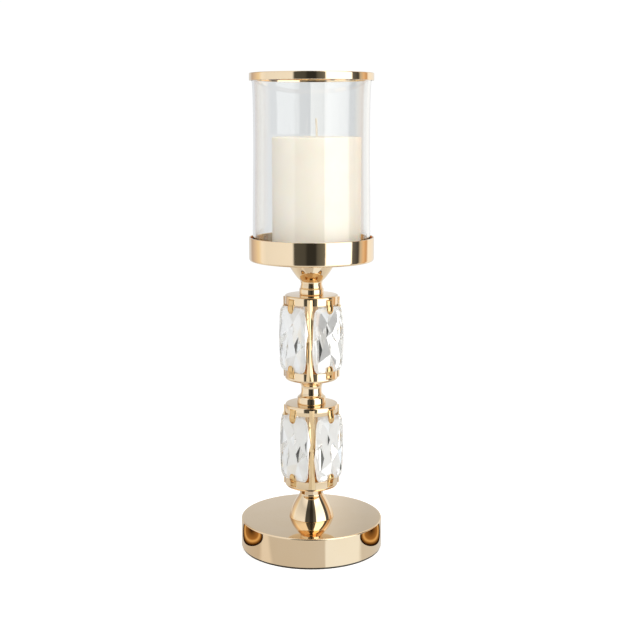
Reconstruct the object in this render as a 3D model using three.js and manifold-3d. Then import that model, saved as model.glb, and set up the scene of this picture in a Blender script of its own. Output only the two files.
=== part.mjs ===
// Hurricane candle lantern: a weighted round base, a column of two crystal cages
// clamped on one tie rod, a dish that holds a pillar candle, and a lift-off glass
// chimney with a metal rim ring. Millimetres, +Z up, front towards -Y, origin at
// the centre of the underside.

import * as THREE from 'three';
import { ConvexGeometry } from 'three/addons/geometries/ConvexGeometry.js';
import { mergeVertices } from 'three/addons/utils/BufferGeometryUtils.js';
import Module from 'manifold-3d';

const wasm = await Module();
wasm.setup();

// Heights of the stack, from the surface it stands on
const PAD_HEIGHT = 1.6;
const BASE_TOP = 26;
const LOWER_CAGE_BOTTOM = 53.5;
const CAGE_HEIGHT = 72;
const UPPER_CAGE_BOTTOM = 146.4;
const NECK_TOP = 228;
const DISH_BOTTOM = 247;
const DISH_TOP = 266.8;
const CANDLE_TOP = 349;
const WICK_TOP = 363.5;
const TOTAL_HEIGHT = 400;

// Radii
const BASE_RADIUS = 60;
const BASE_EDGE = 1.2;
const PAD_RADIUS = 59.3;
const FOOT_RADIUS = 19.1;
const BELL_HEIGHT = 19.8;
const COLLAR_RADIUS = 10;
const CUP_RADIUS = 22.3;
const SPOOL_RADIUS = 12.3;
const SPOOL_WAIST = 8.6;
const NECK_RADIUS = 10.2;
const CONE_TOP_RADIUS = 21;
const CONE_WAIST = 9;
const DISH_RADIUS = 51.8;
const RING_RADIUS = 50.9;
const RING_BORE = 45.3;
const RING_HEIGHT = 6.2;
const LIP_RADIUS = 48.8;
const CANDLE_RADIUS = 36.7;
const CANDLE_OFFSET = 4.2;
const WICK_RADIUS = 0.85;

// Stock, fits and fasteners
const EDGE = 0.4;
const SHEET = 1.2;
const FLOOR = 1.5;
const GLASS_WALL = 2.2;
const GAP = 0.3;
const ROD_RADIUS = 3;
const ROD_OVERHANG = 2;
const ROD_TO_DISH = 11;
const BORE = ROD_RADIUS + GAP;
const SLEEVE_RADIUS = 5.5;
const WEIGHT_HEIGHT = 10;
const WASHER_HEIGHT = 1.6;
const WASHER_RADIUS = 9;
const NUT_HEIGHT = 5;
const NUT_ACROSS_FLATS = 10;
const SEAT_DEPTH = 2.8;
const SEAT_RADIUS = 7.5;
const SCREW_HEAD_RADIUS = 5.2;
const SCREW_HEAD_HEIGHT = 2.4;
const SCREW_LENGTH = 7;
const SOCKET_ACROSS_FLATS = 4;
const SOCKET_DEPTH = 1.4;

// Crystal cages
const PER_CAGE = 4;
const UPPER_CAGE_TURN = -3.5;
const LOWER_CAGE_TURN = 1;
const LOWER_SKIRT = 8.4;
const UPPER_SKIRT = 7.2;
const BAR_WIDTH = 6;
const BAR_RIDGE = 1.3;
const CLAW_WIDTH = 6.4;
const CLAW_THICKNESS = 1.2;
const LOWER_CLAW_RISE = 6;
const UPPER_CLAW_DROP = 7;
const CRYSTAL_HALF_HEIGHT = 27.4;
const GIRDLE_DEPTH = 21.4;
const GIRDLE_HALF_WIDTH = 16.9;
const TABLE_DEPTH = 23.2;
const CULET_DEPTH = 13.5;

const ROUND = 40;
const SLIM = 24;

const finish = (color, roughness, metalness, extra = {}) =>
  new THREE.MeshStandardMaterial({ color, roughness, metalness, ...extra });
const GOLD = finish('#efd9b8', 0.06, 1);
const STEEL = finish('#b9bcc0', 0.35, 1);
const IRON = finish('#3c3d3f', 0.8, 0.6);
const PAD_FOAM = finish('#1d1d1e', 0.95, 0);
const CRYSTAL = finish('#f4f7f8', 0.02, 0, { transparent: true, opacity: 0.4 });
const CHIMNEY_GLASS = finish('#eef2f3', 0.02, 0, { transparent: true, opacity: 0.25 });
const WAX = finish('#efe5cf', 0.5, 0);
const COTTON = finish('#f4f1ea', 0.9, 0);

const lantern = new THREE.Group();

function part(name, geometry, material, parent = lantern) {
  const mesh = new THREE.Mesh(geometry, material);
  mesh.name = name;
  parent.add(mesh);
  return mesh;
}

// A closed outline of [radius, height] points, turned about the vertical axis.
function turned(outline, sides = ROUND) {
  const profile = [...outline, outline[0]].map((point) => new THREE.Vector2(...point));
  return new THREE.LatheGeometry(profile, sides).rotateX(Math.PI / 2);
}

// Points of a round corner or flowing flare between two ends of an outline.
function flowing(from, control, to, steps = 4) {
  const [start, middle, end] = [from, control, to].map((point) => new THREE.Vector2(...point));
  const curve = new THREE.QuadraticBezierCurve(start, middle, end);
  return curve.getPoints(steps).map((point) => [point.x, point.y]);
}

// A flat outline in the ground plane, raised to a height.
function raised(shape, bottom, height) {
  const geometry = new THREE.ExtrudeGeometry(shape, { depth: height, bevelEnabled: false });
  return geometry.translate(0, 0, bottom);
}

function hexagon(acrossFlats) {
  const corner = acrossFlats / Math.sqrt(3);
  const corners = Array.from({ length: 6 }, (_, index) => (index * Math.PI) / 3);
  return new THREE.Shape(corners.map((angle) =>
    new THREE.Vector2(corner * Math.cos(angle), corner * Math.sin(angle))));
}

function toSolid(geometry) {
  const bare = geometry.clone();
  bare.deleteAttribute('normal');
  bare.deleteAttribute('uv');
  const merged = mergeVertices(bare, 1e-4);
  return new wasm.Manifold(new wasm.Mesh({
    numProp: 3,
    vertProperties: new Float32Array(merged.attributes.position.array),
    triVerts: new Uint32Array(merged.index.array),
  }));
}

function toGeometry(solid) {
  const mesh = solid.getMesh();
  const geometry = new THREE.BufferGeometry();
  geometry.setAttribute('position', new THREE.BufferAttribute(new Float32Array(mesh.vertProperties), 3));
  geometry.setIndex(new THREE.BufferAttribute(new Uint32Array(mesh.triVerts), 1));
  geometry.computeVertexNormals();
  return geometry;
}

const joined = (geometries) =>
  toGeometry(geometries.map(toSolid).reduce((whole, piece) => whole.add(piece)));
const cut = (geometry, tool) => toGeometry(toSolid(geometry).subtract(toSolid(tool)));

// ---------------------------------------------------------------- weighted base

// Spun drum, open underneath, with a softened top edge.
function baseShell() {
  const inside = BASE_RADIUS - SHEET;
  const edgeStart = [BASE_RADIUS, BASE_TOP - BASE_EDGE];
  const edgeEnd = [BASE_RADIUS - BASE_EDGE, BASE_TOP];
  return turned([
    [inside, PAD_HEIGHT],
    [BASE_RADIUS, PAD_HEIGHT],
    ...flowing(edgeStart, [BASE_RADIUS, BASE_TOP], edgeEnd),
    [BORE, BASE_TOP],
    [BORE, BASE_TOP - SHEET],
    [inside, BASE_TOP - SHEET],
  ]);
}

function tieRod(bottom, top) {
  return turned([
    [0, bottom],
    [ROD_RADIUS - EDGE, bottom],
    [ROD_RADIUS, bottom + EDGE],
    [ROD_RADIUS, top - EDGE],
    [ROD_RADIUS - EDGE, top],
    [0, top],
  ], SLIM);
}

// A plain ring on the rod: the washer, the ballast and the sleeves.
function collar(bottom, height, radius) {
  const top = bottom + height;
  return turned([[BORE, bottom], [radius, bottom], [radius, top], [BORE, top]], SLIM);
}

function hexNut(bottom, height) {
  const shape = hexagon(NUT_ACROSS_FLATS);
  shape.holes.push(new THREE.Path().absarc(0, 0, BORE, 0, 2 * Math.PI, true));
  return raised(shape, bottom, height);
}

function addBase() {
  const weightBottom = BASE_TOP - SHEET - WEIGHT_HEIGHT;
  const washerBottom = weightBottom - WASHER_HEIGHT;
  const nutBottom = washerBottom - NUT_HEIGHT;
  const pad = [[0, 0], [PAD_RADIUS, 0], [PAD_RADIUS, PAD_HEIGHT], [0, PAD_HEIGHT]];
  part('base_pad', turned(pad), PAD_FOAM);
  part('base_shell', baseShell(), GOLD);
  part('base_weight', collar(weightBottom, WEIGHT_HEIGHT, BASE_RADIUS - SHEET - GAP), IRON);
  part('base_washer', collar(washerBottom, WASHER_HEIGHT, WASHER_RADIUS), STEEL);
  part('base_nut', hexNut(nutBottom, NUT_HEIGHT), STEEL);
  part('tie_rod', tieRod(nutBottom - ROD_OVERHANG, DISH_BOTTOM - ROD_TO_DISH), STEEL);
}

// ---------------------------------------------------------------- turned column parts

// Bell with a gently swelling side under a waisted collar.
function footBell() {
  const shoulder = [COLLAR_RADIUS, BASE_TOP + BELL_HEIGHT];
  const swell = [FOOT_RADIUS - 1.1, BASE_TOP + BELL_HEIGHT / 2 - EDGE];
  return turned([
    [BORE, BASE_TOP],
    ...flowing([FOOT_RADIUS, BASE_TOP], swell, shoulder, 7),
    [COLLAR_RADIUS, LOWER_CAGE_BOTTOM - 3],
    [COLLAR_RADIUS + EDGE, LOWER_CAGE_BOTTOM],
    [BORE, LOWER_CAGE_BOTTOM],
  ], SLIM);
}

// Spool: a straight-sided foot, a waist, and a flare that meets the upper cage.
function middleSpool() {
  const bottom = LOWER_CAGE_BOTTOM + CAGE_HEIGHT;
  const flare = SPOOL_RADIUS - 1;
  return turned([
    [BORE, bottom],
    [SPOOL_RADIUS - EDGE, bottom],
    [SPOOL_RADIUS, bottom + 2 * EDGE],
    [SPOOL_RADIUS - EDGE, bottom + 5.2],
    ...flowing([SPOOL_RADIUS - 1, bottom + 6], [SPOOL_WAIST, bottom + 7.5], [SPOOL_WAIST, bottom + 11]),
    ...flowing([SPOOL_WAIST, bottom + 13.5], [SPOOL_WAIST, bottom + 16.5], [flare, bottom + 18.5]),
    [flare, UPPER_CAGE_BOTTOM],
    [BORE, UPPER_CAGE_BOTTOM],
  ], SLIM);
}

// Two-tier collar: a wide ring, a shallow groove, and a tier that narrows upwards.
function topNeck() {
  const bottom = UPPER_CAGE_BOTTOM + CAGE_HEIGHT;
  const groove = bottom + 5.9;
  return turned([
    [BORE, bottom],
    [NECK_RADIUS - EDGE, bottom],
    [NECK_RADIUS, bottom + 2 * EDGE],
    [NECK_RADIUS, groove - 3 * EDGE],
    [NECK_RADIUS - EDGE, groove - EDGE],
    [NECK_RADIUS - 3 * EDGE, groove],
    [NECK_RADIUS - 2 * EDGE, groove + EDGE],
    [CONE_WAIST - EDGE, NECK_TOP],
    [BORE, NECK_TOP],
  ], SLIM);
}

// Flared cone under the dish, recessed on top for the dish's pressed screw seat.
function dishCone() {
  const seatRadius = SEAT_RADIUS + EDGE;
  const seatHeight = DISH_BOTTOM - SEAT_DEPTH - GAP;
  const flareStart = [CONE_WAIST + 1.7, NECK_TOP + 3.4];
  return turned([
    [BORE, NECK_TOP],
    ...flowing([CONE_WAIST, NECK_TOP], [CONE_WAIST, NECK_TOP + 2.2], flareStart, 3),
    [CONE_TOP_RADIUS - 4.8, DISH_BOTTOM - 8.4],
    [CONE_TOP_RADIUS, DISH_BOTTOM],
    [seatRadius, DISH_BOTTOM],
    [seatRadius, seatHeight],
    [BORE, seatHeight],
  ], SLIM);
}

function addColumn() {
  part('foot_bell', footBell(), GOLD);
  part('middle_spool', middleSpool(), GOLD);
  part('top_neck', topNeck(), GOLD);
  part('dish_cone', dishCone(), GOLD);
}

// ---------------------------------------------------------------- crystal cages

// One folded claw: a strap over the skirt and a tab over the crystal's face.
function claw([strapLow, strapHigh], [tabLow, tabHigh]) {
  const outer = TABLE_DEPTH + CLAW_THICKNESS;
  const strapInner = CUP_RADIUS - SHEET / 2;
  const tabInner = TABLE_DEPTH + GAP;
  const strap = new THREE.BoxGeometry(CLAW_WIDTH, outer - strapInner, strapHigh - strapLow)
    .translate(0, -(outer + strapInner) / 2, (strapLow + strapHigh) / 2);
  const tab = new THREE.BoxGeometry(CLAW_WIDTH, outer - tabInner, tabHigh - tabLow)
    .translate(0, -(outer + tabInner) / 2, (tabLow + tabHigh) / 2);
  return [strap, tab];
}

// A pressed cup with its four claws brazed on, between the bars.
function cupWithClaws(outline, strapHeights, tabHeights) {
  const claws = [];
  for (let index = 0; index < PER_CAGE; index += 1) {
    const angle = ((index + 0.5) * 2 * Math.PI) / PER_CAGE;
    claws.push(...claw(strapHeights, tabHeights).map((geometry) => geometry.rotateZ(angle)));
  }
  return joined([turned(outline, 32), ...claws]);
}

function bottomCup() {
  const inside = CUP_RADIUS - SHEET;
  const outline = [
    [BORE, 0],
    ...flowing([CUP_RADIUS - 2, 0], [CUP_RADIUS - 0.3, EDGE], [CUP_RADIUS, 2]),
    [CUP_RADIUS, LOWER_SKIRT],
    [inside, LOWER_SKIRT],
    [inside, SHEET + 1.4],
    [inside - 1.4, SHEET],
    [BORE, SHEET],
  ];
  const strap = [3.4, LOWER_SKIRT - EDGE];
  const tab = [LOWER_SKIRT - SHEET, LOWER_SKIRT + LOWER_CLAW_RISE];
  return cupWithClaws(outline, strap, tab);
}

function topCup() {
  const inside = CUP_RADIUS - SHEET;
  const rim = CAGE_HEIGHT - UPPER_SKIRT;
  const outline = [
    [BORE, CAGE_HEIGHT - SHEET],
    [inside - 1, CAGE_HEIGHT - SHEET],
    [inside, CAGE_HEIGHT - SHEET - 1],
    [inside, rim],
    [CUP_RADIUS, rim],
    ...flowing([CUP_RADIUS, CAGE_HEIGHT - 1.6], [CUP_RADIUS, CAGE_HEIGHT], [CUP_RADIUS - 1.6, CAGE_HEIGHT]),
    [BORE, CAGE_HEIGHT],
  ];
  const strap = [rim + EDGE, CAGE_HEIGHT - 1.9];
  const tab = [rim - UPPER_CLAW_DROP, rim + SHEET];
  return cupWithClaws(outline, strap, tab);
}

// Straight ridged strap that ties the two cups, riveted over both skirts.
function cageBar() {
  const half = BAR_WIDTH / 2;
  const back = CUP_RADIUS + GAP;
  const section = new THREE.Shape([
    new THREE.Vector2(-half, -back),
    new THREE.Vector2(-half, -back - EDGE),
    new THREE.Vector2(0, -back - BAR_RIDGE),
    new THREE.Vector2(half, -back - EDGE),
    new THREE.Vector2(half, -back),
  ]);
  return raised(section, 2.4, CAGE_HEIGHT - 4);
}

// Barrel-shaped outline of a cut stone, with cut corners, at one depth from the rod.
function stoneOutline(depth, halfWidth, halfHeight, middle) {
  const quarter = [[0.8, 1], [0.89, 0.86], [0.955, 0.6], [1, 0]];
  return quarter.flatMap(([across, up]) => [1, -1].flatMap((side) => [1, -1].map((end) =>
    new THREE.Vector3(side * across * halfWidth, -depth, middle + end * up * halfHeight))));
}

// Cut stone: a sloped back between the bars, a thin girdle, a bevel and a flat face.
function crystal() {
  const middle = LOWER_SKIRT + GAP + CRYSTAL_HALF_HEIGHT;
  const taper = GIRDLE_DEPTH - CULET_DEPTH;
  const [wide, tall] = [GIRDLE_HALF_WIDTH, CRYSTAL_HALF_HEIGHT];
  return new ConvexGeometry([
    ...stoneOutline(CULET_DEPTH, wide - taper, tall - taper, middle),
    ...stoneOutline(GIRDLE_DEPTH - 0.6, wide - 0.6, tall - 0.2, middle),
    ...stoneOutline(GIRDLE_DEPTH, wide, tall, middle),
    ...stoneOutline(TABLE_DEPTH, wide - 3, tall - 3.6, middle),
  ]);
}

function coreSleeve() {
  return collar(SHEET, CAGE_HEIGHT - 2 * SHEET, SLEEVE_RADIUS);
}

function addCage(prefix, bottom, turn) {
  const cage = new THREE.Group();
  cage.position.z = bottom;
  cage.rotation.z = THREE.MathUtils.degToRad(turn);
  lantern.add(cage);
  part(`${prefix}_bottom_cup`, bottomCup(), GOLD, cage);
  part(`${prefix}_top_cup`, topCup(), GOLD, cage);
  part(`${prefix}_core_sleeve`, coreSleeve(), GOLD, cage);
  for (let index = 0; index < PER_CAGE; index += 1) {
    const quarter = (index * 2 * Math.PI) / PER_CAGE;
    const bar = part(`${prefix}_bar_${index + 1}`, cageBar(), GOLD, cage);
    const stone = part(`${prefix}_crystal_${index + 1}`, crystal(), CRYSTAL, cage);
    bar.rotation.z = quarter;
    stone.rotation.z = quarter + Math.PI / PER_CAGE;
  }
}

// ---------------------------------------------------------------- dish and its screw

// Shallow pan with a rounded bottom edge and a pressed seat for the screw head.
function dishPan() {
  const fillet = 2.4;
  const inside = DISH_RADIUS - SHEET;
  const floorTop = DISH_BOTTOM + FLOOR;
  const filletStart = [DISH_RADIUS - fillet, DISH_BOTTOM];
  const filletEnd = [DISH_RADIUS, DISH_BOTTOM + fillet];
  return turned([
    [BORE, DISH_BOTTOM - SEAT_DEPTH],
    [SEAT_RADIUS - EDGE, DISH_BOTTOM - SEAT_DEPTH],
    [SEAT_RADIUS, DISH_BOTTOM],
    ...flowing(filletStart, [DISH_RADIUS, DISH_BOTTOM], filletEnd),
    [DISH_RADIUS, DISH_TOP - EDGE],
    [DISH_RADIUS - EDGE, DISH_TOP],
    [inside + EDGE / 2, DISH_TOP],
    [inside, DISH_TOP - EDGE],
    [inside, floorTop + SHEET],
    [inside - SHEET, floorTop],
    [SEAT_RADIUS - SHEET, floorTop],
    [SEAT_RADIUS - FLOOR, floorTop - SEAT_DEPTH],
    [BORE, floorTop - SEAT_DEPTH],
  ]);
}

// Low-head socket screw that holds the dish down on the cone.
function dishScrew() {
  const seatHeight = DISH_BOTTOM + FLOOR - SEAT_DEPTH;
  const headTop = seatHeight + SCREW_HEAD_HEIGHT;
  const blank = turned([
    [0, seatHeight - SCREW_LENGTH],
    [ROD_RADIUS, seatHeight - SCREW_LENGTH],
    [ROD_RADIUS, seatHeight],
    [SCREW_HEAD_RADIUS, seatHeight],
    [SCREW_HEAD_RADIUS, headTop - EDGE],
    [SCREW_HEAD_RADIUS - EDGE, headTop],
    [0, headTop],
  ], SLIM);
  return cut(blank, raised(hexagon(SOCKET_ACROSS_FLATS), headTop - SOCKET_DEPTH, 2 * SOCKET_DEPTH));
}

function addDish() {
  part('dish_pan', dishPan(), GOLD);
  part('dish_screw', dishScrew(), STEEL);
}

// ---------------------------------------------------------------- glass and ring

// Outside of the blown glass, foot to lip: nearly straight, a little waisted below the lip.
function glassOutside() {
  const foot = DISH_BOTTOM + FLOOR;
  const ringBottom = TOTAL_HEIGHT - RING_HEIGHT;
  return [
    [LIP_RADIUS - EDGE, foot],
    [LIP_RADIUS, foot + EDGE],
    [LIP_RADIUS - 0.3, foot + 36],
    [LIP_RADIUS - 1, foot + 86],
    [LIP_RADIUS - 1.1, ringBottom - 30],
    [LIP_RADIUS - 0.7, ringBottom - 8],
    [LIP_RADIUS, ringBottom],
    [LIP_RADIUS, TOTAL_HEIGHT - SHEET - GAP],
  ];
}

function glassChimney() {
  const outside = glassOutside();
  const inside = outside.map(([radius, height]) => [radius - GLASS_WALL, height]).reverse();
  return turned([...outside, ...inside]);
}

// Channel ring that caps the lip of the glass and grips both of its faces.
function glassRing() {
  const bottom = TOTAL_HEIGHT - RING_HEIGHT;
  const slotInner = LIP_RADIUS - GLASS_WALL - GAP;
  const slotOuter = LIP_RADIUS + GAP;
  const slotTop = TOTAL_HEIGHT - SHEET;
  const edge = 2 * EDGE;
  return turned([
    [slotOuter, bottom],
    [RING_RADIUS - edge, bottom],
    [RING_RADIUS, bottom + edge],
    [RING_RADIUS, TOTAL_HEIGHT - edge],
    [RING_RADIUS - edge, TOTAL_HEIGHT],
    [RING_BORE + EDGE, TOTAL_HEIGHT],
    [RING_BORE, TOTAL_HEIGHT - EDGE],
    [RING_BORE, bottom],
    [slotInner, bottom],
    [slotInner, slotTop],
    [slotOuter, slotTop],
  ]);
}

function addChimney() {
  part('glass_chimney', glassChimney(), CHIMNEY_GLASS);
  part('glass_ring', glassRing(), GOLD);
}

// ---------------------------------------------------------------- candle

function addCandle() {
  const foot = DISH_BOTTOM + FLOOR;
  const edge = 3 * EDGE;
  const wickHole = WICK_RADIUS + GAP;
  const pillar = turned([
    [wickHole, foot],
    [CANDLE_RADIUS - EDGE, foot],
    [CANDLE_RADIUS, foot + EDGE],
    [CANDLE_RADIUS, CANDLE_TOP - edge],
    [CANDLE_RADIUS - edge, CANDLE_TOP],
    [wickHole, CANDLE_TOP],
  ]);
  const wick = new THREE.CylinderGeometry(WICK_RADIUS, WICK_RADIUS, WICK_TOP - foot - GAP, 10)
    .rotateX(Math.PI / 2)
    .translate(0, 0, (WICK_TOP + foot + GAP) / 2);
  part('candle', pillar, WAX).position.x = CANDLE_OFFSET;
  part('wick', wick, COTTON).position.x = CANDLE_OFFSET;
}

addBase();
addColumn();
addCage('lower', LOWER_CAGE_BOTTOM, LOWER_CAGE_TURN);
addCage('upper', UPPER_CAGE_BOTTOM, UPPER_CAGE_TURN);
addDish();
addChimney();
addCandle();

export default lantern;
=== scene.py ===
"""A hurricane candle lantern: a gilt stem with two cages of cut crystals, a dish, a glass
chimney with a gilt rim, and a pillar candle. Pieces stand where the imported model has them."""

import math

import bmesh
import bpy
import numpy as np
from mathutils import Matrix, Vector
from mathutils.geometry import delaunay_2d_cdt


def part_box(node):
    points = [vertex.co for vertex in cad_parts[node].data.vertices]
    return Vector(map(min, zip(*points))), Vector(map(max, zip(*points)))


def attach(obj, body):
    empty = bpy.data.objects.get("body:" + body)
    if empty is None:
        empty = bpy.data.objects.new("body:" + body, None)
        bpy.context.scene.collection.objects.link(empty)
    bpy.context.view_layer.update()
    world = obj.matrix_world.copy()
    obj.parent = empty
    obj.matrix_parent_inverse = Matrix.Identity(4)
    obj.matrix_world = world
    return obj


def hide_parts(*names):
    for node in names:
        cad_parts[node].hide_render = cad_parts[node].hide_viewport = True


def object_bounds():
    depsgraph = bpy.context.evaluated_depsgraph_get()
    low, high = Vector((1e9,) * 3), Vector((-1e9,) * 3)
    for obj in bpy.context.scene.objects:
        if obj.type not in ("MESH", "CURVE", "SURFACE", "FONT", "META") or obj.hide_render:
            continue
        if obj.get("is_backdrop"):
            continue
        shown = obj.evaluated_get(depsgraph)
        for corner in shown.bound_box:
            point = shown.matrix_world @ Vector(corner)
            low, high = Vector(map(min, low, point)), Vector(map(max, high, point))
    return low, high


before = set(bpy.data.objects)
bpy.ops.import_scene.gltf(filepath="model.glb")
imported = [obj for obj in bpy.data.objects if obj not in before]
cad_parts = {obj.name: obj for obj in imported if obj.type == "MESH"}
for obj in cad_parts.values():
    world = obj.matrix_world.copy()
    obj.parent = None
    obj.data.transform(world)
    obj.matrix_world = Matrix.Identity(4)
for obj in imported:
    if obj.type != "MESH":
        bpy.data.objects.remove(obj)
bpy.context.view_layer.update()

# ---------------------------------------------------------------- camera
# A short telephoto camera stands about a metre off, at the height of the glass, and looks
# a little down on the stem.
CAMERA_AT = (-0.00125, -0.98734, 0.36666)
CAMERA_DOWN = 9.293  # degrees below the horizon
CAMERA_LENS = 69.356  # mm on a 36 mm sensor

camera = bpy.data.objects.new("studio_camera", bpy.data.cameras.new("studio_camera"))
bpy.context.collection.objects.link(camera)
camera.data.sensor_width = 36
camera.data.lens = CAMERA_LENS
camera.location = CAMERA_AT
camera.rotation_euler = (math.radians(90 - CAMERA_DOWN), 0, 0)
bpy.context.scene.camera = camera
bpy.context.scene.view_settings.view_transform = "Standard"
# Light turns many times inside the crystals and the glass before it comes out.
bpy.context.scene.cycles.max_bounces = 24
bpy.context.scene.cycles.transmission_bounces = 20
bpy.context.scene.cycles.glossy_bounces = 12


# ---------------------------------------------------------------- studio light
# Tall soft panels stand round the table: a strong one at the front right, a wide even one
# at the left, black flags between them beside the camera, and a pale wall behind.
def linear(sheet_colour):
    """An sRGB hex colour as linear RGBA: c/12.92 below 0.04045, else ((c+0.055)/1.055)^2.4."""
    c = np.array([int(sheet_colour[i : i + 2], 16) for i in (1, 3, 5)]) / 255
    c = np.where(c < 0.04045, c / 12.92, ((c + 0.055) / 1.055) ** 2.4)
    return (*c.tolist(), 1.0)


def add_node(tree, kind, wires=(), values=(), **settings):
    """Adds a node with its settings, fills its sockets from values and joins its wires."""
    made = tree.nodes.new("ShaderNode" + kind)
    for key, value in settings.items():
        setattr(made, key, value)
    for socket, value in dict(values).items():
        made.inputs[socket].default_value = value
    for socket, source in dict(wires).items():
        tree.links.new(source, made.inputs[socket])
    return made


def share_of_turn(tree, direction):
    """For a direction (x, y, z), a node that gives z and one that gives the share of a turn
    from the back, by the left: atan2(x, -y) / (2 pi) + 1/2."""
    way = add_node(tree, "SeparateXYZ", {0: direction})
    front = add_node(tree, "Math", {0: way.outputs["Y"]}, {1: -1.0}, operation="MULTIPLY")
    bearing = add_node(
        tree, "Math", {0: way.outputs["X"], 1: front.outputs[0]}, operation="ARCTAN2"
    )
    share = add_node(
        tree, "Math", {0: bearing.outputs[0]}, {1: 0.5 / math.pi, 2: 0.5},
        operation="MULTIPLY_ADD",
    )
    return way, share


# degrees to the right of the camera, brightness, tint
PANELS = (
    (-180, 0.80, "#FBFCFF"),
    (-151, 0.78, "#FBFCFF"),
    (-140, 0.58, "#FFECE2"),
    (-125, 0.80, "#FFEBD6"),
    (-112, 0.98, "#FFF0D2"),
    (-103, 1.05, "#FFFFFF"),
    (-90, 1.00, "#FAFCFF"),
    (-35, 1.06, "#FAFCFF"),
    (-31, 0.09, "#FFFFF6"),
    (-12, 0.08, "#FFFFF6"),
    (-7, 0.035, "#FFFFF6"),
    (7, 0.035, "#FFFFF6"),
    (11, 0.11, "#FFFFF6"),
    (24, 0.19, "#FFFFF0"),
    (27, 2.20, "#FFFEFC"),
    (77, 2.20, "#FFFEFC"),
    (80, 0.16, "#FFFFFF"),
    (95, 0.06, "#FFFFFF"),
    (100, 0.62, "#FFF4E0"),
    (110, 0.90, "#FFD9B0"),
    (120, 0.66, "#FFC890"),
    (127, 1.10, "#FFFDFA"),
    (160, 0.95, "#FFFDFA"),
    (176, 0.74, "#FBFCFF"),
    (180, 0.80, "#FBFCFF"),
)
OVERHEAD = 1.15  # a large soft light above
WALL_HIGH = 0.74  # the walls are less lit above the table's height
# how high the direction points, from 0 for level to 1 for straight up, and brightness
RISING = ((0.08, 1.0), (0.19, WALL_HIGH), (0.50, WALL_HIGH), (0.72, OVERHEAD), (1.0, OVERHEAD))
THROUGH_GLASS = 0.62  # the least brightness seen straight through glass
BACKDROP = 1.03  # the wall behind, as the camera sees it

world = bpy.data.worlds.new("studio_light")
bpy.context.scene.world = world
world.use_nodes = True
tree = world.node_tree
tree.nodes.clear()
way, share = share_of_turn(tree, add_node(tree, "TexCoord").outputs["Generated"])
panels = add_node(tree, "ValToRGB", {0: share.outputs[0]})
stops = panels.color_ramp.elements
for i, (degrees, brightness, tint) in enumerate(PANELS):
    stop = stops[i] if i < 1 else stops.new(degrees / 360 + 0.5)
    stop.position = degrees / 360 + 0.5
    stop.color = (*[brightness * c for c in linear(tint)[:3]], 1.0)
stops.remove(stops[len(PANELS)])  # the ramp's own end stop, left over
rising = add_node(tree, "ValToRGB", {0: way.outputs["Z"]})
stops = rising.color_ramp.elements
for stop, (up, brightness) in zip([*stops] + [stops.new(0.5) for _ in RISING[2:]], RISING):
    stop.position = up
    stop.color = (brightness, brightness, brightness, 1.0)
sky = add_node(
    tree, "Mix", {6: panels.outputs[0], 7: rising.outputs[0]}, {0: 1.0},
    data_type="RGBA", blend_type="MULTIPLY",
)
# What is seen straight through the glass is the pale wall, from whichever side.
path = add_node(tree, "LightPath")
seen = path.outputs["Is Camera Ray"]
bounced = add_node(
    tree, "Math", {0: path.outputs["Glossy Depth"], 1: path.outputs["Diffuse Depth"]},
    operation="ADD",
)
straight = add_node(
    tree, "Math", {0: path.outputs["Is Transmission Ray"], 1: bounced.outputs[0]},
    operation="SUBTRACT", use_clamp=True,
)
pale = add_node(
    tree, "Mix", {0: straight.outputs[0], 6: sky.outputs[2]}, {7: (THROUGH_GLASS,) * 3 + (1,)},
    data_type="RGBA", blend_type="LIGHTEN",
)
lit = add_node(tree, "Background", {0: pale.outputs[2]})
wall = add_node(tree, "Background", (), {0: (BACKDROP,) * 3 + (1,)})
both = add_node(tree, "MixShader", {0: seen, 1: lit.outputs[0], 2: wall.outputs[0]})
add_node(tree, "OutputWorld", {0: both.outputs[0]})

# A large lamp over the camera fills in the matt parts: wax, felt and paper. The polished
# parts and the glass don't show it.
FILL_WIDE = 1.2  # m
FILL_WATTS = 22.0
FILL_AT = (-0.15, -1.5, 1.25)
FILL_TIP, FILL_SWING = 58, -6  # degrees

fill = bpy.data.objects.new("fill_lamp", bpy.data.lights.new("fill_lamp", "AREA"))
bpy.context.collection.objects.link(fill)
fill.data.shape, fill.data.size = "DISK", FILL_WIDE
fill.data.energy = FILL_WATTS
fill.data.color = linear("#FFFAF2")[:3]
fill.location = FILL_AT
fill.rotation_euler = (math.radians(FILL_TIP), 0, math.radians(FILL_SWING))
fill.visible_glossy = fill.visible_transmission = fill.visible_camera = False

# ---------------------------------------------------------------- table top
# A round sheet of white paper, which fades into the backdrop and keeps a soft shadow under
# the base. Polished parts see a painted reflection in its place: a pale warm grey with painted
# shade near the base, lighter further off, a painted pool of light under the bright panels,
# and a round amber patch out at the left and at the right.
TABLE_RADIUS = 520.0
MM = 0.001
PAPER_GLOW = 0.42  # light that the backdrop throws on the paper from all round
PAPER_FIBRE = 2.5  # mm, coarser than real fibres so that it shows
# Near the base the painted reflection brightens with a painted pool of light and dims with
# painted shade round a point on it, metres from the stem: degrees from the front,
# brightness, and blue as a share of red. Behind it is plain painted shade.
WEDGE_AT = (0.0045, -0.0415, 0.0)
WEDGE = (
    (-92, 0.64, 0.80), (-87, 0.86, 0.90), (-78, 0.86, 0.90), (-73, 0.66, 0.90),
    (20.5, 0.68, 0.93), (23, 1.0, 1.12), (83, 1.02, 1.12), (89, 0.72, 0.98),
)
WEDGE_BACK = (0.68, 0.665, 0.64, 1.0)
# the painted reflection further off, and metres from the stem over which it takes over
FAR_TABLE, FAR_FROM, FAR_BY = (0.84, 0.83, 0.80, 1.0), 0.14, 0.30
# The amber patches ringed dark are painted reflections, which the base's side mirrors.
PATCH_AT, PATCH_RADIUS = 0.121, 0.052  # metres from the stem, left and right, and size
PATCH_SOFT = 0.015  # share of the radius over which its edge fades
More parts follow.
